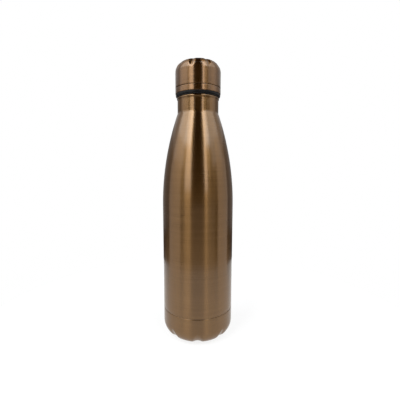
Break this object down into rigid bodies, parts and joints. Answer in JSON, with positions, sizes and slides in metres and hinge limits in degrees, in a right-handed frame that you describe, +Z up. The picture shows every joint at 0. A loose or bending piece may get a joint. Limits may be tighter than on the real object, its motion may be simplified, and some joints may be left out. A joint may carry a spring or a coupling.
{
  "type": "insulated water bottle",
  "caption": "Cola-shaped double-walled steel water bottle in brushed copper-gold, with a fluted base cup and a fluted screw lid over a black threaded plug.",
  "frame": {"origin": "centre of the foot circle, on the surface that the bottle stands on", "axes": "+Z up along the bottle's axis, towards the lid; -Y is the front, where one base flute faces"},
  "size_m": [0.069, 0.069, 0.265],
  "materials": {
    "copper_gold_steel": "copper-gold coloured stainless steel, brushed round the axis, lacquered",
    "copper_gold_base": "copper-gold coloured stainless steel, brushed round the axis, lacquered",
    "copper_gold_lid": "copper-gold coloured stainless steel, brushed round the axis, lacquered",
    "copper_gold_band": "copper-gold coloured stainless steel, finely turned",
    "bare_steel": "mill-finish stainless steel",
    "liner_steel": "electropolished stainless steel with faint draw lines",
    "bright_foil": "bright crinkled foil",
    "solder": "dull solder",
    "getter_metal": "pressed grey metal powder",
    "black_plastic": "black moulded polypropylene",
    "pale_foam": "rigid pale foam",
    "black_silicone": "soft black silicone"
  },
  "bodies": {
    "bottle": {"outer_shell": "copper_gold_steel", "base_cup": "copper_gold_base", "middle_bottom": "bare_steel", "vacuum_seal": "solder", "getter": "getter_metal", "inner_liner": "liner_steel", "liner_bottom": "liner_steel", "radiation_shield": "bright_foil"},
    "seal": {"lid_gasket": "black_silicone"},
    "lid": {"cap_shell": "copper_gold_lid", "cap_band": "copper_gold_band", "plug_body": "black_plastic", "plug_insulation": "pale_foam", "plug_end_disc": "black_plastic"}
  },
  "joints": [
    {"name": "lid_rise", "type": "slide", "parent": "bottle", "child": "seal", "axis": [0, 0, 1], "range_m": [0, 0.0451]},
    {"name": "lid_turn", "type": "hinge", "parent": "seal", "child": "lid", "pos_m": [0, 0, 0.2322], "axis": [0, 0, 1], "range_deg": [0, 3240]}
  ],
  "couplings": [
    {"joint": "lid_rise", "follows": "lid_turn", "m_per_rad": 0.00079577}
  ]
}
